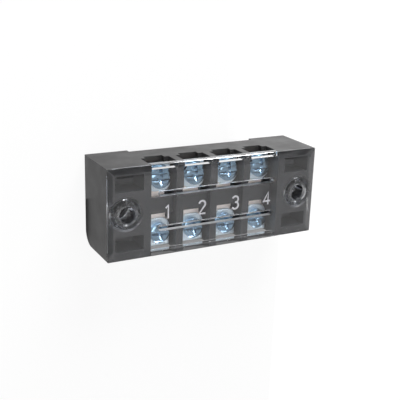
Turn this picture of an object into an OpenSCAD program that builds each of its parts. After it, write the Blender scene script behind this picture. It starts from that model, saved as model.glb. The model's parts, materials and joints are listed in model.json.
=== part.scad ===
// Barrier terminal strip: a moulded housing with one cell per pole and row, a conductor
// through each pole, a clamp plate and screw in every cell, and a clear clip-on cover.
// X runs along the strip, Y across its two rows of terminals, Z up from the mounting face.
// The origin is the middle of the mounting face.

/* [Strip] */
// Number of poles, each with a terminal in both rows
poles = 4; // [2:1:8]
// Distance from one pole to the next
pitch = 8.75; // [8.7:0.05:12]
// Width across both rows
body_w = 21.4; // [20.6:0.1:26]
// Height of the housing, from the mounting face to its rim
body_h = 13.6; // [13.4:0.1:18]
// Length of each mounting end, outside the last barrier
end_l = 8.6; // [8.4:0.1:12]

/* [Housing] */
// Thickness of the barriers between the cells
barrier_t = 1.8; // [1.2:0.1:2]
// How far the barriers stop below the rim
barrier_drop = 1.4; // [0.8:0.1:1.8]
// Thickness of the wall round the mounting ends
wall_t = 2; // [1.2:0.1:2.4]
// Depth of the cells below the rim
cell_depth = 5.5; // [5.2:0.1:6.6]
// Width of the groove under each conductor
groove_w = 4.6; // [4.2:0.1:5]
// Depth of that groove below the cell floor
groove_depth = 1.35; // [0.8:0.05:2]
// Length of that groove, inwards from the long side
groove_l = 6.2; // [6:0.1:7]
// Diameter of the blind pocket under each screw
pocket_d = 4.2; // [4:0.1:4.6]
// Thickness of the middle ridge that the conductors pass through
ridge_w = 3.8; // [2.4:0.1:4.4]
// Height of the middle ridge above the cell floor
ridge_h = 2.3; // [1.8:0.1:3.4]
// Radius of the rounded lower edge along one long side
edge_r = 3.5; // [1:0.1:3.9]
// Depth of the recess under the cells, between the two feet
foot_h = 1.2; // [0.4:0.1:1.6]

/* [Mounting ends] */
// Distance from the end of the housing to the mounting hole
hole_inset = 4.5; // [4.3:0.1:4.6]
// Diameter of the mounting holes
hole_d = 4.2; // [3.2:0.1:4.4]
// Diameter of the counterbore that takes the cover's snap sleeve
counterbore_d = 7.2; // [6.6:0.1:7.4]
// Depth of that counterbore below the rim
counterbore_depth = 5.5; // [3.5:0.1:7]
// Chamfer at the mouth of that counterbore
mouth_chamfer = 0.4; // [0.2:0.1:0.6]
// Width of the block round the mounting hole
block_w = 10.4; // [8.8:0.1:12]
// Depth of the corner hollows below the rim
hollow_depth = 6; // [2:0.1:9]

/* [Terminals] */
// Distance from the long side to the screw axis
screw_inset = 4.15; // [4:0.05:4.4]
// Width of each conductor under the clamp plates
bar_w = 5.4; // [5.2:0.1:6.2]
// Width of each conductor where it passes through the ridge
waist_w = 4.2; // [3:0.1:5]
// Length of that narrow middle
waist_l = 7.4; // [6:0.1:7.6]
// Thickness of each conductor
bar_t = 1; // [0.8:0.1:1.4]
// How far each end of a conductor stays back from the long side
bar_setback = 1.4; // [0.8:0.1:1.6]
// Depth of the tapped collar under the conductor
collar_h = 1; // [0.6:0.1:1.6]
// Wall of the tapped collar
collar_t = 0.4; // [0.3:0.05:0.45]
// Width of each clamp plate
clamp_w = 5.6; // [5.3:0.1:6.2]
// Length of each clamp plate
clamp_l = 6.5; // [5.6:0.1:7]
// Thickness of each clamp plate
clamp_t = 0.8; // [0.6:0.1:1.1]
// Radius of the clamp plate's two inner corners
clamp_r = 1.9; // [0.6:0.1:2.4]
// Thread diameter of the screws
screw_d = 3; // [2.5:0.1:3]
// Length of the screws below the head
screw_l = 7; // [5:0.1:7.2]
// Diameter of the screw heads
head_d = 4.8; // [4.4:0.1:5.2]
// Height of the screw heads
head_h = 1.6; // [1.5:0.1:2]
// Fall of the domed head from its middle to its edge
head_dome = 0.45; // [0.3:0.05:0.8]
// Width of the driver slot and of the arms of the cross recess
recess_w = 0.8; // [0.6:0.05:1]
// Depth of the straight driver slot
slot_depth = 0.9; // [0.6:0.05:1]
// Reach of the cross recess, end to end
cross_l = 3; // [2.6:0.1:3.4]
// Depth of the cross recess
cross_depth = 1.2; // [1:0.05:1.4]

/* [Cover] */
// Thickness of the cover plate
cover_t = 1.4; // [1:0.1:2]
// Chamfer round the cover plate's outer edge
cover_chamfer = 0.3; // [0.1:0.05:0.5]
// Thickness of the skirts along the long sides
skirt_t = 2; // [0.7:0.1:2.4]
// Wall of the snap sleeves
sleeve_t = 0.8; // [0.6:0.05:1.1]
// How far the snap sleeves stop above the counterbore floor
sleeve_gap = 0.5; // [0.3:0.1:1.5]
// Width of the slits that let the snap sleeves flex
slit_w = 1; // [0.6:0.1:1.4]
// Unslit length of the sleeves below the plate
slit_root = 0.8; // [0.4:0.1:1.5]
// Width of the long probe slots
probe_w = 1.1; // [0.8:0.1:1.4]
// Distance from the screw axis to the probe slot, towards the middle
probe_offset = 2.45; // [2:0.05:3]
// How far the probe slots reach past the outer screw axes
probe_reach = 1.35; // [1:0.05:2.2]

/* [Fits] */
// Gap beside each flat face that slides into the housing
slide_gap = 0.15; // [0.1:0.05:0.25]
// Radial gap between a snap sleeve and its counterbore
sleeve_fit = 0.1; // [0.05:0.01:0.15]
// Radial gap between a screw and its tapped collar
thread_fit = 0.05; // [0.03:0.01:0.1]
// Radial gap between a screw and its clamp plate
clamp_fit = 0.1; // [0.08:0.01:0.15]

/* [Hidden] */
$fn = 64;
cut = 1;                                          // how far a cut runs past a face
ROWS = ["upper", "lower"];

cell_w = pitch - barrier_t;                       // clear width between two barriers
cells_l = poles * pitch - barrier_t;              // clear length of the row of cells
body_l = cells_l + 2 * (barrier_t + end_l);       // overall length
cell_z = body_h - cell_depth;                     // cell floor
bar_top = cell_z + bar_t;                         // top of the conductors
head_z = bar_top + clamp_t;                       // seat of the screw heads
tip_z = head_z - screw_l;                         // tip of the screws
pocket_z = tip_z - 0.5;                           // floor of the screw pockets
barrier_z = body_h - barrier_drop;                // top of the barriers
screw_y = body_w / 2 - screw_inset;               // screw axes, either side of the middle
hole_x = body_l / 2 - hole_inset;                 // mounting holes, either side of the middle
sleeve_d = counterbore_d - 2 * sleeve_fit;        // outside of the snap sleeves
probe_y = screw_y - probe_offset;                 // middle of the probe slots

function pole_x(i) = (i - (poles + 1) / 2) * pitch;
function side(row) = row == "upper" ? 1 : -1;

// Box between two corners given as ranges along X, Y and Z.
module block(x, y, z) {
    translate([x[0], y[0], z[0]])
        cube([x[1] - x[0], y[1] - y[0], z[1] - z[0]]);
}

// Children at both mounting holes.
module at_holes() {
    for (s = [-1, 1])
        translate([s * hole_x, 0, 0])
            children();
}

// Children at the screw axis of one terminal, turned so that +Y points out of the strip.
module at_terminal(row, i) {
    translate([pole_x(i), side(row) * screw_y, 0])
        mirror([0, side(row) < 0 ? 1 : 0, 0])
            children();
}

// ---- Housing ----

// Outer form: a bar with one rounded lower edge, standing on a foot at each end.
module housing_form() {
    difference() {
        block([-body_l / 2, body_l / 2], [-body_w / 2, body_w / 2], [0, body_h]);
        difference() {
            block([-body_l / 2 - cut, body_l / 2 + cut],
                  [-body_w / 2 - cut, -body_w / 2 + edge_r], [-cut, edge_r]);
            translate([-body_l / 2 - 2 * cut, -body_w / 2 + edge_r, edge_r])
                rotate([0, 90, 0])
                    cylinder(r = edge_r, h = body_l + 4 * cut);
        }
        block([-cells_l / 2, cells_l / 2], [-body_w / 2 - cut, body_w / 2 + cut], [-cut, foot_h]);
    }
}

// Room of one cell on one side of the ridge: the cell itself, the groove under the
// conductor that narrows its mouth to a T, and the blind pocket for the screw.
module cell_room() {
    outside = screw_inset + cut;
    block([-cell_w / 2, cell_w / 2], [ridge_w / 2 - screw_y, outside], [cell_z, body_h + cut]);
    block([-groove_w / 2, groove_w / 2], [screw_inset - groove_l, outside],
          [cell_z - groove_depth, cell_z + cut]);
    translate([0, 0, pocket_z])
        cylinder(d = pocket_d, h = cell_z - pocket_z + cut);
}

// Tunnel through the ridge for one conductor.
module bar_tunnel() {
    half_w = waist_w / 2 + slide_gap;
    block([-half_w, half_w], [-ridge_w / 2 - cut, ridge_w / 2 + cut],
          [cell_z, bar_top + slide_gap]);
}

// Room above the ridge and the barriers, up to the cover.
module cover_room() {
    for (i = [1:poles])
        block([pole_x(i) - cell_w / 2, pole_x(i) + cell_w / 2],
              [-ridge_w / 2 - cut, ridge_w / 2 + cut], [cell_z + ridge_h, body_h + cut]);
    block([-cells_l / 2, cells_l / 2], [-body_w / 2 - cut, body_w / 2 + cut],
          [barrier_z, body_h + cut]);
}

// Mounting hole with the counterbore for the snap sleeve and its chamfered mouth.
module mounting_hole() {
    translate([0, 0, -cut])
        cylinder(d = hole_d, h = body_h + 2 * cut);
    translate([0, 0, body_h - counterbore_depth])
        cylinder(d = counterbore_d, h = counterbore_depth + cut);
    translate([0, 0, body_h - mouth_chamfer])
        cylinder(d1 = counterbore_d, d2 = counterbore_d + 4 * mouth_chamfer,
                 h = 2 * mouth_chamfer);
}

// Hollow in one corner of a mounting end, between the outer walls and the hole's block.
module corner_hollow() {
    block([cells_l / 2 + barrier_t, body_l / 2 - wall_t], [block_w / 2, body_w / 2 - wall_t],
          [body_h - hollow_depth, body_h + cut]);
}

module housing() {
    color("#2c2c2e")
        difference() {
            housing_form();
            for (i = [1:poles]) {
                for (row = ROWS)
                    at_terminal(row, i)
                        cell_room();
                translate([pole_x(i), 0, 0])
                    bar_tunnel();
            }
            cover_room();
            at_holes()
                mounting_hole();
            for (mx = [0, 1], my = [0, 1])
                mirror([mx, 0, 0])
                    mirror([0, my, 0])
                        corner_hollow();
        }
}

// ---- Cover ----

// Plate with a chamfer round its upper edge: two outlines, one along X and one along Y.
module plate_outline(length) {
    polygon([
        [-length / 2, 0],
        [length / 2, 0],
        [length / 2, cover_t - cover_chamfer],
        [length / 2 - cover_chamfer, cover_t],
        [-length / 2 + cover_chamfer, cover_t],
        [-length / 2, cover_t - cover_chamfer],
    ]);
}

module cover_plate() {
    translate([0, 0, body_h])
        intersection() {
            rotate([90, 0, 0])
                linear_extrude(body_w, center = true)
                    plate_outline(body_l);
            rotate([90, 0, 90])
                linear_extrude(body_l, center = true)
                    plate_outline(body_w);
        }
}

// Skirts over the ends of the barriers, which close the top of the cell mouths.
module skirts() {
    half_l = cells_l / 2 - slide_gap;
    for (s = [-1, 1])
        translate([0, s * (body_w - skirt_t) / 2, 0])
            block([-half_l, half_l], [-skirt_t / 2, skirt_t / 2],
                  [barrier_z + slide_gap, body_h]);
}

// Sleeve that snaps into a counterbore, slit four times so that it can flex.
module snap_sleeve() {
    sleeve_l = counterbore_depth - sleeve_gap;
    translate([0, 0, body_h - sleeve_l])
        difference() {
            cylinder(d = sleeve_d, h = sleeve_l);
            translate([0, 0, -cut])
                cylinder(d = sleeve_d - 2 * sleeve_t, h = sleeve_l + cut);
            for (a = [0, 90])
                rotate([0, 0, a])
                    block([-counterbore_d, counterbore_d], [-slit_w / 2, slit_w / 2],
                          [-cut, sleeve_l - slit_root]);
        }
}

// Long round-ended slot that lets a test probe reach the inner edge of the screws.
module probe_slot() {
    reach = pole_x(poles) + probe_reach;
    translate([0, 0, body_h - cut])
        linear_extrude(cover_t + 2 * cut) {
            square([2 * reach, probe_w], center = true);
            for (s = [-1, 1])
                translate([s * reach, 0])
                    circle(d = probe_w);
        }
}

module cover() {
    color([0.78, 0.82, 0.88, 0.35])
        difference() {
            union() {
                cover_plate();
                skirts();
                at_holes()
                    snap_sleeve();
            }
            at_holes()
                translate([0, 0, body_h - cut])
                    cylinder(d = hole_d, h = cover_t + 2 * cut);
            for (s = [-1, 1])
                translate([0, s * probe_y, 0])
                    probe_slot();
        }
}

// ---- Terminals ----

// Flat bar, narrow through the ridge, with a tapped collar under each screw.
module conductor(i) {
    bore_d = screw_d + 2 * thread_fit;
    half_l = body_w / 2 - bar_setback;
    color("#c9ad93")
        difference() {
            union() {
                translate([pole_x(i), 0, 0]) {
                    block([-waist_w / 2, waist_w / 2], [-half_l, half_l], [cell_z, bar_top]);
                    for (my = [0, 1])
                        mirror([0, my, 0])
                            block([-bar_w / 2, bar_w / 2], [waist_l / 2, half_l],
                                  [cell_z, bar_top]);
                }
                for (row = ROWS)
                    at_terminal(row, i)
                        translate([0, 0, cell_z - collar_h])
                            cylinder(d = bore_d + 2 * collar_t, h = collar_h + bar_t / 2);
            }
            for (row = ROWS)
                at_terminal(row, i)
                    translate([0, 0, cell_z - collar_h - cut])
                        cylinder(d = bore_d, h = collar_h + bar_t + 2 * cut);
        }
}

// Clamp plate: square outside, rounded at the two corners next to the ridge.
module clamp_plate(row, i) {
    inner_y = -clamp_l / 2;
    color("#b4cbd8")
        at_terminal(row, i)
            translate([0, 0, bar_top])
                linear_extrude(clamp_t)
                    difference() {
                        union() {
                            translate([-clamp_w / 2, inner_y + clamp_r])
                                square([clamp_w, clamp_l - clamp_r]);
                            translate([-clamp_w / 2 + clamp_r, inner_y])
                                square([clamp_w - 2 * clamp_r, clamp_l]);
                            for (s = [-1, 1])
                                translate([s * (clamp_w / 2 - clamp_r), inner_y + clamp_r])
                                    circle(r = clamp_r);
                        }
                        circle(d = screw_d + 2 * clamp_fit);
                    }
}

// Recess for a flat or a cross driver, cut down from the top of the head.
module driver_recess() {
    block([-head_d, head_d], [-recess_w / 2, recess_w / 2], [-slot_depth, cut]);
    intersection() {
        for (a = [0, 90])
            rotate([0, 0, a])
                block([-cross_l / 2, cross_l / 2], [-recess_w / 2, recess_w / 2],
                      [-cross_depth, cut]);
        translate([0, 0, -cross_depth])
            cylinder(d1 = recess_w, d2 = cross_l + recess_w, h = cross_depth);
    }
}

// Domed head: a cylinder cut off by a sphere that falls by head_dome at its edge.
module screw_head() {
    dome_r = (pow(head_d / 2, 2) + pow(head_dome, 2)) / (2 * head_dome);
    difference() {
        intersection() {
            cylinder(d = head_d, h = head_h);
            translate([0, 0, head_h - dome_r])
                sphere(r = dome_r, $fn = 96);
        }
        translate([0, 0, head_h])
            driver_recess();
    }
}

module screw(row, i) {
    point_h = screw_d / 6;
    color("#8fb0c6")
        at_terminal(row, i) {
            translate([0, 0, tip_z + point_h])
                cylinder(d = screw_d, h = screw_l - point_h);
            translate([0, 0, tip_z])
                cylinder(d1 = screw_d - 2 * point_h, d2 = screw_d, h = point_h);
            translate([0, 0, head_z])
                screw_head();
        }
}

// ---- Nodes ----

housing();
cover();
for (i = [1:poles]) {
    conductor(i);
    for (row = ROWS) {
        clamp_plate(row, i);
        screw(row, i);
    }
}
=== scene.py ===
"""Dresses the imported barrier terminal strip.

A moulded housing, a clear cover, plated terminals and a studio.
"""

import json
import logging
import math
from dataclasses import dataclass, field
from enum import Enum

import bmesh
import bpy
import numpy as np
from mathutils import Matrix, Vector

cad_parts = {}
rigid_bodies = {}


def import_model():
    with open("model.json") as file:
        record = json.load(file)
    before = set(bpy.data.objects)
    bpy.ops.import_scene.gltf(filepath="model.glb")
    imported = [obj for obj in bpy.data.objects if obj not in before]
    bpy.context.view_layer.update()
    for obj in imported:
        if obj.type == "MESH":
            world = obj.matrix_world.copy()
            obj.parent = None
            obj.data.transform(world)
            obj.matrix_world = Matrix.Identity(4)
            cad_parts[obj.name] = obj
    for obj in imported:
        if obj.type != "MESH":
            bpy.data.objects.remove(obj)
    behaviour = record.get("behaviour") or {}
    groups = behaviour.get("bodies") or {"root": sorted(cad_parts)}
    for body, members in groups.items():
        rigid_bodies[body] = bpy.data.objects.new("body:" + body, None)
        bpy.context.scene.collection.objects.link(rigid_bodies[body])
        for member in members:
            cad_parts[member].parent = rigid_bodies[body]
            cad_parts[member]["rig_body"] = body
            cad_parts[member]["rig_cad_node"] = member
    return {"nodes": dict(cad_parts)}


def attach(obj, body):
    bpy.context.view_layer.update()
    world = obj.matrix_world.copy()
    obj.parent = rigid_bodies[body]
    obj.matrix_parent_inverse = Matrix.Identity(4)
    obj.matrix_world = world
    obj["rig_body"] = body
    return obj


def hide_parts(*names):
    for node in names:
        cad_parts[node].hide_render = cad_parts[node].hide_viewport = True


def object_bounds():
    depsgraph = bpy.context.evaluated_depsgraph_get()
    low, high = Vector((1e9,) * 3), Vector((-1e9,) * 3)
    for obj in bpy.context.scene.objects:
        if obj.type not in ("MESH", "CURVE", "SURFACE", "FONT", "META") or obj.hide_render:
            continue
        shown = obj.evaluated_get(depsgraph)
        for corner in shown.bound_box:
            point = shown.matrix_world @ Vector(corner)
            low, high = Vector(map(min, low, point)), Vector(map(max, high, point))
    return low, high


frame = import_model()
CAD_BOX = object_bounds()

MM = 0.001
LOG = logging.getLogger("terminal_strip")
Colour = tuple[float, float, float]
Point = tuple[float, float, float]
WHITE = (1.0, 1.0, 1.0, 1.0)
NOISE_SPAN = (0.3, 0.7)  # where most values of a noise lie
MERGE_DISTANCE = 0.002  # millimetres
FLAT_ANGLE = 1.0  # degrees
SAME_PLANE = 0.01  # millimetres


class Slot(Enum):
    """The record's material slots."""

    HOUSING = "black_plastic"
    COVER = "clear_plastic"
    BAR = "conductor_metal"
    CLAMP = "zinc_clamp"
    SCREW = "zinc_screw"


# ---- Node helpers ----


class Graph:
    """A node tree with short calls to add nodes and wire them.

    Args:
        tree: The node tree of a material, a world or a node group.
    """

    def __init__(self, tree: bpy.types.NodeTree) -> None:
        """Keeps the tree."""
        self.tree = tree

    def add(self, kind: str, links: dict | None = None, **values: object) -> bpy.types.Node:
        """Adds a node.

        Args:
            kind: The node's type name.
            links: Sockets to join, by input name or index.
            values: Node properties, or input values where the name is "in_" and an input's name.

        Returns:
            The new node.
        """
        node = self.tree.nodes.new(kind)
        for name, value in values.items():
            if name.startswith("in_"):
                self.socket(node, name[3:]).default_value = value
            else:
                setattr(node, name, value)
        for name, source in (links or {}).items():
            self.tree.links.new(source, self.socket(node, name))
        return node

    @staticmethod
    def socket(node: bpy.types.Node, name: str | int) -> bpy.types.NodeSocket:
        """The input of that name, with "_" read as a space, or of that number."""
        if isinstance(name, int):
            return node.inputs[name]
        if name.isdigit():
            return node.inputs[int(name)]
        return node.inputs[name.replace("_", " ")]

    def maths(self, operation: str, *terms: object) -> bpy.types.NodeSocket:
        """A Math node on terms that are sockets or numbers, and its result."""
        node = self.add("ShaderNodeMath", operation=operation)
        for index, term in enumerate(terms):
            if isinstance(term, bpy.types.NodeSocket):
                self.tree.links.new(term, node.inputs[index])
            else:
                node.inputs[index].default_value = term
        return node.outputs[0]

    def place(self, system: str = "Object") -> bpy.types.NodeSocket:
        """Texture coordinates of that system."""
        return self.add("ShaderNodeTexCoord").outputs[system]

    def axis(self, system: str, name: str) -> bpy.types.NodeSocket:
        """One axis, X, Y or Z, of the texture coordinates of that system."""
        return self.add("ShaderNodeSeparateXYZ", {"Vector": self.place(system)}).outputs[name]

    def noise(
        self, place: bpy.types.NodeSocket, scale: bpy.types.NodeSocket, detail: float
    ) -> bpy.types.NodeSocket:
        """The value of a noise of that scale and detail."""
        links = {"Vector": place, "Scale": scale}
        return self.add("ShaderNodeTexNoise", links, in_Detail=detail).outputs["Fac"]

    def remap(
        self, source: bpy.types.NodeSocket, span: tuple[float, float], result: tuple[float, float]
    ) -> bpy.types.NodeSocket:
        """Maps a value from one span to another and holds it inside.

        Args:
            source: The value.
            span: The values that map to the ends of result.
            result: The ends of the new span.

        Returns:
            The mapped value.
        """
        node = self.add("ShaderNodeMapRange", {"Value": source})
        for name, value in zip(("From Min", "From Max", "To Min", "To Max"), (*span, *result)):
            node.inputs[name].default_value = value
        return node.outputs[0]


def new_group(
    name: str, inputs: dict[str, float], outputs: dict[str, str]
) -> tuple[Graph, bpy.types.Node]:
    """Makes an empty shader node group.

    Args:
        name: The group's name.
        inputs: Float inputs and their default values.
        outputs: Outputs and their socket types.

    Returns:
        The group's graph and its input node.
    """
    tree = bpy.data.node_groups.new(name, "ShaderNodeTree")
    for label, value in inputs.items():
        socket = tree.interface.new_socket(label, in_out="INPUT", socket_type="NodeSocketFloat")
        socket.default_value = value
    for label, kind in outputs.items():
        tree.interface.new_socket(label, in_out="OUTPUT", socket_type=kind)
    graph = Graph(tree)
    return graph, graph.add("NodeGroupInput")


class Effects:
    """Node groups that several finishes share, each made once."""

    _made: dict[str, bpy.types.NodeTree] = {}

    @classmethod
    def group(cls, name: str) -> bpy.types.NodeTree:
        """The group of that name, built at its first use."""
        if name not in cls._made:
            cls._made[name] = {
                "mould_grain": cls._mould_grain,
                "drawn_streaks": cls._drawn_streaks,
                "handling_film": cls._handling_film,
            }[name]()
        return cls._made[name]

    @staticmethod
    def _mould_grain() -> bpy.types.NodeTree:
        """Fine grain and slow flow marks of a moulded surface: two noises at named scales."""
        graph, source = new_group(
            "mould_grain",
            {"Grain": 6000.0, "Flow": 250.0},
            {"Height": "NodeSocketFloat", "Shade": "NodeSocketFloat"},
        )
        place = graph.place()
        grain = graph.noise(place, source.outputs["Grain"], 3.0)
        flow = graph.noise(place, source.outputs["Flow"], 2.0)
        height = graph.maths("ADD", grain, graph.maths("MULTIPLY", flow, 0.6))
        graph.add("NodeGroupOutput", {"Height": height, "Shade": flow})
        return graph.tree

    @staticmethod
    def _drawn_streaks() -> bpy.types.NodeTree:
        """Streaks along Y, as rolled or plated strip has: noise on coordinates squeezed along Y."""
        graph, source = new_group(
            "drawn_streaks",
            {"Scale": 9000.0, "Stretch": 0.06},
            {"Streak": "NodeSocketFloat", "Cloud": "NodeSocketFloat"},
        )
        place = graph.place()
        squeeze = graph.add(
            "ShaderNodeCombineXYZ", {"Y": source.outputs["Stretch"]}, in_X=1.0, in_Z=1.0
        )
        along = graph.add(
            "ShaderNodeVectorMath", {0: place, 1: squeeze.outputs[0]}, operation="MULTIPLY"
        ).outputs[0]
        streak = graph.noise(along, source.outputs["Scale"], 4.0)
        cloud = graph.add("ShaderNodeTexNoise", {"Vector": place}, in_Scale=420.0, in_Detail=3.0)
        graph.add("NodeGroupOutput", {"Streak": streak, "Cloud": cloud.outputs["Fac"]})
        return graph.tree

    @staticmethod
    def _handling_film() -> bpy.types.NodeTree:
        """Faint film that handling leaves on polished plastic: soft noise raised to a power."""
        graph, source = new_group(
            "handling_film", {"Scale": 120.0, "Power": 2.0}, {"Film": "NodeSocketFloat"}
        )
        cloud = graph.noise(graph.place(), source.outputs["Scale"], 4.0)
        film = graph.maths("POWER", cloud, source.outputs["Power"])
        graph.add("NodeGroupOutput", {"Film": film})
        return graph.tree


def start_material(name: str) -> tuple[bpy.types.Material, Graph]:
    """An empty node material of that name and its graph."""
    material = bpy.data.materials.new(name)
    material.use_nodes = True
    material.node_tree.nodes.clear()
    return material, Graph(material.node_tree)


def ramp(
    graph: Graph, source: bpy.types.NodeSocket, low: Colour, high: Colour
) -> bpy.types.NodeSocket:
    """A colour between low and high as source goes from 0 to 1."""
    node = graph.add("ShaderNodeMix", {"Factor": source}, data_type="RGBA")
    node.inputs[6].default_value = (*low, 1.0)
    node.inputs[7].default_value = (*high, 1.0)
    return node.outputs[2]


def spread(
    graph: Graph, source: bpy.types.NodeSocket, low: float, high: float
) -> bpy.types.NodeSocket:
    """A number between low and high as a noise crosses its usual span."""
    return graph.remap(source, NOISE_SPAN, (low, high))


# ---- Finishes ----


@dataclass(frozen=True)
class BlackMoulding:
    """Satin black moulding compound with a fine grain."""

    dark: Colour = (0.016, 0.016, 0.017)
    pale: Colour = (0.026, 0.025, 0.025)
    roughness: tuple[float, float] = (0.3, 0.42)
    grain_height: float = 0.004

    def material(self) -> bpy.types.Material:
        """Builds the material."""
        material, graph = start_material("black_moulding")
        grain = graph.add("ShaderNodeGroup", node_tree=Effects.group("mould_grain"))
        bump = graph.add(
            "ShaderNodeBump",
            {"Height": grain.outputs["Height"]},
            in_Strength=0.35,
            in_Distance=self.grain_height * MM,
        )
        shader = graph.add(
            "ShaderNodeBsdfPrincipled",
            {
                "Base Color": ramp(graph, grain.outputs["Shade"], self.dark, self.pale),
                "Roughness": spread(graph, grain.outputs["Shade"], *self.roughness),
                "Normal": bump.outputs[0],
            },
            in_IOR=1.52,
        )
        graph.add("ShaderNodeOutputMaterial", {"Surface": shader.outputs[0]})
        return material


@dataclass(frozen=True)
class ClearMoulding:
    """Clear plastic that lets lamp light through to what it covers."""

    roughness: tuple[float, float] = (0.01, 0.04)
    shade_through: Colour = (0.86, 0.88, 0.92)
    absorbed: Colour = (0.55, 0.6, 0.72)
    density: float = 45.0
    wall_roughness: float = 0.32
    wall_tilt: float = 0.3
    skirt_face: float = 8.5

    def _walls(self, graph: Graph) -> bpy.types.NodeSocket:
        """Added roughness of slot and sleeve walls, less polished by the mould than outer faces.

        A wall has |normal z| under wall_tilt and lies less than skirt_face from the middle.

        Args:
            graph: The material's graph.

        Returns:
            The roughness to add.
        """
        tilt = graph.maths("ABSOLUTE", graph.axis("Normal", "Z"))
        away = graph.maths("ABSOLUTE", graph.axis("Object", "Y"))
        upright = graph.maths("LESS_THAN", tilt, self.wall_tilt)
        inside = graph.maths("LESS_THAN", away, self.skirt_face * MM)
        return graph.maths("MULTIPLY", graph.maths("MULTIPLY", upright, inside), self.wall_roughness)

    def material(self) -> bpy.types.Material:
        """Builds the material."""
        material, graph = start_material("clear_moulding")
        film = graph.add("ShaderNodeGroup", node_tree=Effects.group("handling_film"))
        polish = spread(graph, film.outputs["Film"], *self.roughness)
        shader = graph.add(
            "ShaderNodeBsdfPrincipled",
            {"Roughness": graph.maths("ADD", polish, self._walls(graph))},
            in_Base_Color=WHITE,
            in_Transmission_Weight=1.0,
            in_IOR=1.56,
        )
        through = graph.add("ShaderNodeBsdfTransparent", in_Color=(*self.shade_through, 1.0))
        path = graph.add("ShaderNodeLightPath")
        mix = graph.add(
            "ShaderNodeMixShader",
            {0: path.outputs["Is Shadow Ray"], 1: shader.outputs[0], 2: through.outputs[0]},
        )
        inside = graph.add(
            "ShaderNodeVolumeAbsorption", in_Color=(*self.absorbed, 1.0), in_Density=self.density
        )
        graph.add(
            "ShaderNodeOutputMaterial", {"Surface": mix.outputs[0], "Volume": inside.outputs[0]}
        )
        return material


@dataclass(frozen=True)
class FrostedMark:
    """Raised figures of the clear moulding, with a frosted top that catches light."""

    dark: Colour = (0.5, 0.5, 0.53)
    pale: Colour = (0.78, 0.78, 0.82)

    def material(self) -> bpy.types.Material:
        """Builds the material."""
        material, graph = start_material("frosted_mark")
        grain = graph.add("ShaderNodeGroup", node_tree=Effects.group("mould_grain"))
        graph.socket(grain, "Flow").default_value = 1500.0
        shader = graph.add(
            "ShaderNodeBsdfPrincipled",
            {"Base Color": ramp(graph, grain.outputs["Shade"], self.dark, self.pale)},
            in_Roughness=0.35,
            in_IOR=1.5,
            in_Transmission_Weight=0.35,
        )
        graph.add("ShaderNodeOutputMaterial", {"Surface": shader.outputs[0]})
        return material


@dataclass(frozen=True)
class Plating:
    """Metal with a plated skin: streaks along the strip and cloudy colour."""

    name: str
    dark: Colour
    pale: Colour
    roughness: tuple[float, float]
    streak_height: float = 0.002

    def material(self) -> bpy.types.Material:
        """Builds the material."""
        material, graph = start_material(self.name)
        streaks = graph.add("ShaderNodeGroup", node_tree=Effects.group("drawn_streaks"))
        bump = graph.add(
            "ShaderNodeBump",
            {"Height": streaks.outputs["Streak"]},
            in_Strength=0.3,
            in_Distance=self.streak_height * MM,
        )
        shader = graph.add(
            "ShaderNodeBsdfPrincipled",
            {
                "Base Color": ramp(graph, streaks.outputs["Cloud"], self.dark, self.pale),
                "Roughness": spread(graph, streaks.outputs["Streak"], *self.roughness),
                "Normal": bump.outputs[0],
            },
            in_Metallic=1.0,
        )
        graph.add("ShaderNodeOutputMaterial", {"Surface": shader.outputs[0]})
        return material


# ---- Mesh helpers ----


def dress(piece: bpy.types.Object, finish: bpy.types.Material) -> None:
    """Gives a piece one finish in all its slots."""
    piece.data.materials.clear()
    piece.data.materials.append(finish)


def softened_copy(node: str, name: str, radius: float, angle: float = 32.0) -> bpy.types.Object:
    """A copy of a CAD node, merged, with its sharp edges rounded by a Bevel modifier.

    Args:
        node: The CAD node.
        name: The new piece's name.
        radius: Edge radius in millimetres.
        angle: Edges sharper than this many degrees are rounded.

    Returns:
        The new piece, which rides on the node's body and replaces the node.
    """
    source = frame["nodes"][node]
    mesh = source.data.copy()
    shape = bmesh.new()
    shape.from_mesh(mesh)
    bmesh.ops.remove_doubles(shape, verts=shape.verts, dist=MERGE_DISTANCE * MM)
    bmesh.ops.dissolve_limit(
        shape,
        angle_limit=math.radians(FLAT_ANGLE),
        verts=shape.verts,
        edges=shape.edges,
        delimit={"NORMAL"},
    )
    shape.to_mesh(mesh)
    shape.free()
    mesh.set_sharp_from_angle(angle=math.radians(angle))
    piece = bpy.data.objects.new(name, mesh)
    bpy.context.scene.collection.objects.link(piece)
    bevel = piece.modifiers.new("edge_radius", "BEVEL")
    bevel.width = radius * MM
    bevel.segments = 2
    bevel.limit_method = "ANGLE"
    bevel.angle_limit = math.radians(angle)
    bevel.harden_normals = False
    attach(piece, source["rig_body"])
    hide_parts(node)
    return piece


def arc(
    centre: tuple[float, float], radius: float, start: float, end: float, steps: int = 14
) -> np.ndarray:
    """Points on an arc: centre + radius * (cos a, sin a), with a from start to end in degrees."""
    angle = np.radians(np.linspace(start, end, steps))
    return np.array(centre) + radius * np.stack([np.cos(angle), np.sin(angle)], axis=1)


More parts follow.
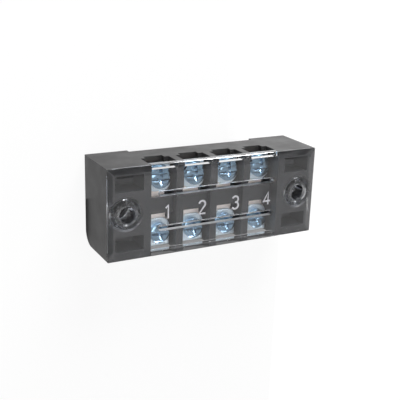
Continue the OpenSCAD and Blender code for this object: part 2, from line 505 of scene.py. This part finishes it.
@dataclass
class Figures:
    """The figures 1 to 4, as raised strokes swept along their centre lines.

    Args:
        width: Width of a stroke in millimetres.
        height: Height of a stroke in millimetres.
        reach: Half the height of a figure in millimetres.
        sections: Points across a stroke.
        mitre_floor: Least squared length of a corner's mean normal, so that no mitre runs away.
    """

    width: float
    height: float
    reach: float = 1.55
    sections: int = 7
    mitre_floor: float = 0.3

    def strokes(self, figure: int) -> list[np.ndarray]:
        """Centre lines of one figure, about its own middle."""
        top, foot = self.reach, -self.reach
        if figure == 1:
            return [np.array([(-0.5, 0.95), (0.15, top), (0.15, foot)])]
        if figure == 2:
            bowl = arc((0.0, top - 0.8), 0.8, 165, -30)
            return [np.vstack([bowl, [(-0.8, foot), (0.85, foot)]])]
        if figure == 3:
            upper = arc((0.0, top - 0.78), 0.78, 155, -85)
            lower = arc((0.0, foot + 0.84), 0.84, 80, -155)
            return [np.vstack([upper, lower])]
        return [np.array([(0.35, foot), (0.35, top), (-0.9, -0.7), (0.95, -0.7)])]

    def sweep(self, line: np.ndarray, base: float) -> tuple[np.ndarray, list[tuple[int, ...]]]:
        """Sweeps a low arch along a line.

        At section point u from -1 to 1 the arch stands at width / 2 * u across the line and at
        height * sqrt(1 - u * u) above base. Each corner is mitred: across = mean normal / its own
        squared length.

        Args:
            line: Points of the centre line, in millimetres.
            base: Height that the arch stands on.

        Returns:
            The points and the faces as corner numbers.
        """
        step = np.diff(line, axis=0)
        step /= np.linalg.norm(step, axis=1, keepdims=True)
        normal = np.stack([-step[:, 1], step[:, 0]], axis=1)
        joined = np.vstack([normal[:1], (normal[:-1] + normal[1:]) / 2, normal[-1:]])
        squared = np.sum(joined * joined, axis=1, keepdims=True)
        joined /= np.maximum(squared, self.mitre_floor)
        u = np.linspace(-1.0, 1.0, self.sections)
        flat = line[:, None, :] + joined[:, None, :] * (u * self.width / 2)[None, :, None]
        rise = np.broadcast_to(base + self.height * np.sqrt(1 - u * u), flat.shape[:2])
        points = np.concatenate([flat, rise[:, :, None]], axis=2).reshape(-1, 3)
        count = self.sections
        faces = [
            (first, first + count, first + count + 1, first + 1)
            for row in range(len(line) - 1)
            for first in range(row * count, row * count + count - 1)
        ]
        return points, faces

    def build(self, name: str, centres: list[float], middle: float, base: float) -> bpy.types.Object:
        """Makes one piece of all the figures.

        Args:
            name: The piece's name.
            centres: Places along X of the figures' middles, in millimetres.
            middle: Their place along Y.
            base: Height that they stand on.

        Returns:
            The new piece.
        """
        points: list[np.ndarray] = []
        faces: list[tuple[int, ...]] = []
        for figure, centre in enumerate(centres, start=1):
            for line in self.strokes(figure):
                start = sum(len(part) for part in points)
                part, sides = self.sweep(line + (centre, middle), base)
                points.append(part)
                faces += [tuple(start + corner for corner in side) for side in sides]
        mesh = bpy.data.meshes.new(name)
        mesh.from_pydata((np.vstack(points) * MM).tolist(), [], faces)
        shape = bmesh.new()
        shape.from_mesh(mesh)
        for side in shape.faces:
            side.smooth = True
            if side.normal.z < 0:
                side.normal_flip()
        shape.to_mesh(mesh)
        shape.free()
        piece = bpy.data.objects.new(name, mesh)
        bpy.context.scene.collection.objects.link(piece)
        LOG.info("%s: %d faces", name, len(faces))
        return piece


# ---- Sub-assemblies ----


@dataclass
class Housing:
    """The black moulding that holds everything."""

    edge_radius: float = 0.12
    finish: BlackMoulding = field(default_factory=BlackMoulding)

    def build(self) -> None:
        """Rounds the moulding's edges and gives it its finish."""
        piece = softened_copy("housing", "housing_moulding", self.edge_radius)
        dress(piece, self.finish.material())
        LOG.info("housing: %d faces before its edges are rounded", len(piece.data.polygons))


@dataclass
class Cover:
    """The clear clip-on cover, with a raised figure over each pole.

    Sizes are in millimetres. The plate's faces move by less than a tenth: its underside rises so
    that light meets a film of air between cover and housing, and its top drops by the figures'
    height, so that they end at the height of the solid. A sloping border, width by drop and mitred
    at its corners, runs round the top. The skirts' inner faces move from the first to the second
    distance in skirt_inner, which leaves thin walls at the outer face.
    """

    border: tuple[float, float] = (2.0, 0.8)
    skirt_inner: tuple[float, float] = (8.7, 9.5)
    edge_radius: float = 0.12
    air_film: float = 0.03
    mark_height: float = 0.06
    mark_width: float = 0.46
    mark_centre: tuple[float, float] = (0.2, -0.3)
    plate_t: float = 1.4
    poles: int = 4
    pitch: float = 8.75
    finish: ClearMoulding = field(default_factory=ClearMoulding)
    mark_finish: FrostedMark = field(default_factory=FrostedMark)

    def build(self) -> None:
        """Makes the moulding and its figures."""
        piece = softened_copy("cover", "cover_moulding", self.edge_radius)
        dress(piece, self.finish.material())
        self._slope_border(piece.data)
        top = CAD_BOX[1][2]
        place = np.empty(len(piece.data.vertices) * 3)
        piece.data.vertices.foreach_get("co", place)
        place = place.reshape(-1, 3)
        near = SAME_PLANE * MM
        underside = np.isclose(place[:, 2], top - self.plate_t * MM, atol=near)
        upper = np.isclose(place[:, 2], top, atol=near)
        thick, thin = self.skirt_inner
        wall = np.isclose(np.abs(place[:, 1]), thick * MM, atol=near) & (place[:, 2] < top - MM)
        place[wall, 1] = np.sign(place[wall, 1]) * thin * MM
        place[underside, 2] += self.air_film * MM
        place[upper, 2] -= self.mark_height * MM
        piece.data.vertices.foreach_set("co", place.ravel())
        piece.data.update()
        LOG.info("cover: %d faces before its edges are rounded", len(piece.data.polygons))
        across, along = self.mark_centre
        middle = (self.poles - 1) / 2
        marks = Figures(self.mark_width, self.mark_height).build(
            "cover_figures",
            [(pole - middle) * self.pitch + across for pole in range(self.poles)],
            along,
            top / MM - self.mark_height,
        )
        dress(marks, self.mark_finish.material())
        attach(marks, frame["nodes"]["cover"]["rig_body"])

    def _slope_border(self, mesh: bpy.types.Mesh) -> None:
        """Cuts the plate by four planes that fall from the top to its outer edge.

        Each plane holds the line border width inside an edge at the top, and the line border drop
        below the top at that edge, so its normal is (drop outward, width upward).

        Args:
            mesh: The cover's mesh.
        """
        width, drop = self.border
        shape = bmesh.new()
        shape.from_mesh(mesh)
        for axis in (0, 1):
            for side in (-1, 1):
                inner = Vector((0.0, 0.0, CAD_BOX[1][2]))
                inner[axis] = side * (CAD_BOX[1][axis] - width * MM)
                normal = Vector((0.0, 0.0, width))
                normal[axis] = side * drop
                every = [*shape.verts, *shape.edges, *shape.faces]
                cut = bmesh.ops.bisect_plane(
                    shape,
                    geom=every,
                    dist=1e-7,
                    plane_co=inner,
                    plane_no=normal.normalized(),
                    clear_outer=True,
                )
                rim = [part for part in cut["geom_cut"] if isinstance(part, bmesh.types.BMEdge)]
                bmesh.ops.edgeloop_fill(shape, edges=rim)
        bmesh.ops.recalc_face_normals(shape, faces=shape.faces)
        shape.to_mesh(mesh)
        shape.free()


@dataclass
class Terminals:
    """Conductors, clamp plates and screws."""

    bar: Plating = Plating("tinned_bar", (0.88, 0.78, 0.72), (0.98, 0.9, 0.84), (0.38, 0.52))
    clamp: Plating = Plating("zinc_clamp", (0.62, 0.74, 0.83), (0.84, 0.93, 0.99), (0.24, 0.4))
    # Painted shade: the screws' zinc colour is far darker than the clamps' zinc, standing in for the
    # darker reflections that the heads show.
    screw: Plating = Plating("zinc_screw", (0.12, 0.22, 0.32), (0.42, 0.58, 0.72), (0.1, 0.2))
    edge_radius: float = 0.08

    def build(self) -> None:
        """Dresses every conductor, clamp plate and screw."""
        finishes = {
            "conductor": (Slot.BAR, self.bar.material()),
            "clamp_plate": (Slot.CLAMP, self.clamp.material()),
            "screw": (Slot.SCREW, self.screw.material()),
        }
        for name in sorted(frame["nodes"]):
            for start, (slot, finish) in finishes.items():
                if name.startswith(start):
                    dress(softened_copy(name, f"{name}_plated", self.edge_radius), finish)
                    LOG.info("%s dressed", name)


# ---- Studio ----


@dataclass(frozen=True)
class Viewpoint:
    """Camera place and aim, in millimetres, and its lens."""

    place: Point = (-84.78, 56.52, 164.45)
    forward: Point = (0.4487, -0.3086, -0.8387)
    upward: Point = (0.1183, 0.9507, -0.2866)
    lens: float = 70.27
    clip_start: float = 10.0

    def build(self) -> None:
        """Adds the scene's camera."""
        data = bpy.data.cameras.new("camera")
        data.lens = self.lens
        data.clip_start = self.clip_start * MM
        camera = bpy.data.objects.new("camera", data)
        bpy.context.scene.collection.objects.link(camera)
        back = -Vector(self.forward).normalized()
        right = Vector(self.upward).cross(back).normalized()
        up = back.cross(right)
        turn = Matrix((right, up, back)).transposed().to_4x4()
        camera.matrix_world = Matrix.Translation(Vector(self.place) * MM) @ turn
        bpy.context.scene.camera = camera


@dataclass(frozen=True)
class SoftBox:
    """A square area lamp aimed at a point, sizes in metres."""

    name: str
    place: Point
    size: float
    power: float
    aim: Point = (0.0, 0.0, 0.008)

    def build(self) -> None:
        """Adds the lamp."""
        data = bpy.data.lights.new(self.name, "AREA")
        data.size = self.size
        data.energy = self.power
        lamp = bpy.data.objects.new(self.name, data)
        bpy.context.scene.collection.objects.link(lamp)
        lamp.location = self.place
        towards = Vector(self.aim) - Vector(self.place)
        lamp.rotation_euler = towards.to_track_quat("-Z", "Y").to_euler()


@dataclass(frozen=True)
class Studio:
    """White floor and surround, with a graded light to reflect, and two soft lamps.

    Distances are in metres. The camera sees plain white. Reflected and transmitted rays meet a table,
    a backdrop and a dim room of different levels, and on the floor a painted light level that rises
    from left to right and a painted contact shadow under the part.
    """

    floor_size: float = 4.0
    floor_colour: float = 0.9
    floor_shadow: float = 0.12
    contact_reach: float = 0.03
    contact_span: tuple[float, float] = (0.5, 0.95)
    painted_contact_shadow: float = 0.03
    half_length: float = 0.028
    level_span: tuple[float, float] = (-0.04, 0.02)
    left_level: float = 0.5
    white: float = 0.6
    backdrop: float = 1.1
    room: float = 0.15
    table_span: tuple[float, float] = (-0.15, 0.15)
    horizon_span: tuple[float, float] = (0.05, 0.35)
    lamps: tuple[SoftBox, ...] = (
        SoftBox("key_lamp", (0.12, 0.5, 0.2), 0.3, 4.0),
        SoftBox("fill_lamp", (-0.14, 0.08, 0.48), 0.26, 0.7),
    )

    @staticmethod
    def _seen_directly(graph: Graph) -> bpy.types.NodeSocket:
        """1 for camera, glossy and transmitted rays, else 0."""
        path = graph.add("ShaderNodeLightPath")
        shown = graph.maths("MAXIMUM", path.outputs["Is Camera Ray"], path.outputs["Is Glossy Ray"])
        return graph.maths("MAXIMUM", shown, path.outputs["Is Transmission Ray"])

    def _floor(self) -> None:
        """Adds the floor under the mounting face: matt, mixed with an emission that camera, reflected
        and transmitted rays meet there. It carries a painted contact shadow in front of the part's -Y
        side and a painted light level that rises from left to right.
        """
        half = self.floor_size / 2
        mesh = bpy.data.meshes.new("floor")
        corners = [(-half, -half, 0.0), (half, -half, 0.0), (half, half, 0.0), (-half, half, 0.0)]
        mesh.from_pydata(corners, [], [(0, 1, 2, 3)])
        floor = bpy.data.objects.new("floor", mesh)
        bpy.context.scene.collection.objects.link(floor)
        material, graph = start_material("floor_white")
        grey = self.floor_colour
        matt = graph.add("ShaderNodeBsdfDiffuse", in_Color=(grey, grey, grey, 1.0))
        # Painted contact shadow: for reflected and transmitted rays, the floor's glow falls with
        # ambient occlusion near the part, down to a near-black level.
        contact = graph.add("ShaderNodeAmbientOcclusion", in_Distance=self.contact_reach)
        near = graph.remap(
            contact.outputs["AO"], self.contact_span, (self.painted_contact_shadow, self.white)
        )
        # Painted light level: beside and behind the part the glow rises from left to right, darker on
        # the left.
        level = graph.remap(
            graph.axis("Object", "X"), self.level_span, (self.left_level, self.backdrop)
        )
        # In front of the part's -Y side, along its length, only the painted contact shadow is kept.
        from_middle = graph.maths("ABSOLUTE", graph.axis("Object", "X"))
        beside = graph.maths("GREATER_THAN", from_middle, self.half_length)
        behind = graph.maths("GREATER_THAN", graph.axis("Object", "Y"), 0.0)
        above = graph.maths("MULTIPLY", graph.maths("MAXIMUM", beside, behind), level)
        plain = graph.add("ShaderNodeLightPath").outputs["Is Camera Ray"]
        strength = graph.maths("MAXIMUM", graph.maths("MAXIMUM", near, above), plain)
        white = graph.add("ShaderNodeEmission", {"Strength": strength})
        share = graph.maths("MULTIPLY", self._seen_directly(graph), 1.0 - self.floor_shadow)
        mix = graph.add("ShaderNodeMixShader", {0: share, 1: matt.outputs[0], 2: white.outputs[0]})
        graph.add("ShaderNodeOutputMaterial", {"Surface": mix.outputs[0]})
        mesh.materials.append(material)

    def _surround(self) -> None:
        """Sets a world that shows white, with a white table and backdrop and a dim room to reflect."""
        world = bpy.data.worlds.new("surround")
        bpy.context.scene.world = world
        world.use_nodes = True
        world.node_tree.nodes.clear()
        graph = Graph(world.node_tree)
        path = graph.add("ShaderNodeLightPath")
        table = graph.remap(
            graph.axis("Generated", "Y"), self.table_span, (self.white, self.room)
        )
        before = graph.remap(graph.axis("Generated", "Z"), self.horizon_span, (0.0, 1.0))
        level = graph.add("ShaderNodeMix", {0: before, 3: table}, in_2=self.backdrop)
        dim = graph.add("ShaderNodeBackground", {"Strength": level.outputs[0]}, in_Color=WHITE)
        white = graph.add("ShaderNodeBackground", in_Strength=1.0, in_Color=WHITE)
        mix = graph.add(
            "ShaderNodeMixShader",
            {0: path.outputs["Is Camera Ray"], 1: dim.outputs[0], 2: white.outputs[0]},
        )
        graph.add("ShaderNodeOutputWorld", {"Surface": mix.outputs[0]})

    def build(self) -> None:
        """Adds the floor, the surround and the lamps."""
        self._floor()
        self._surround()
        for lamp in self.lamps:
            lamp.build()
        bpy.context.scene.view_settings.view_transform = "Standard"


def main() -> None:
    """Builds the camera, the studio and every sub-assembly in order."""
    logging.basicConfig(level=logging.INFO, format="%(name)s %(message)s")
    Viewpoint().build()
    Studio().build()
    for assembly in (Housing(), Cover(), Terminals()):
        assembly.build()


if __name__ == "__main__":
    main()
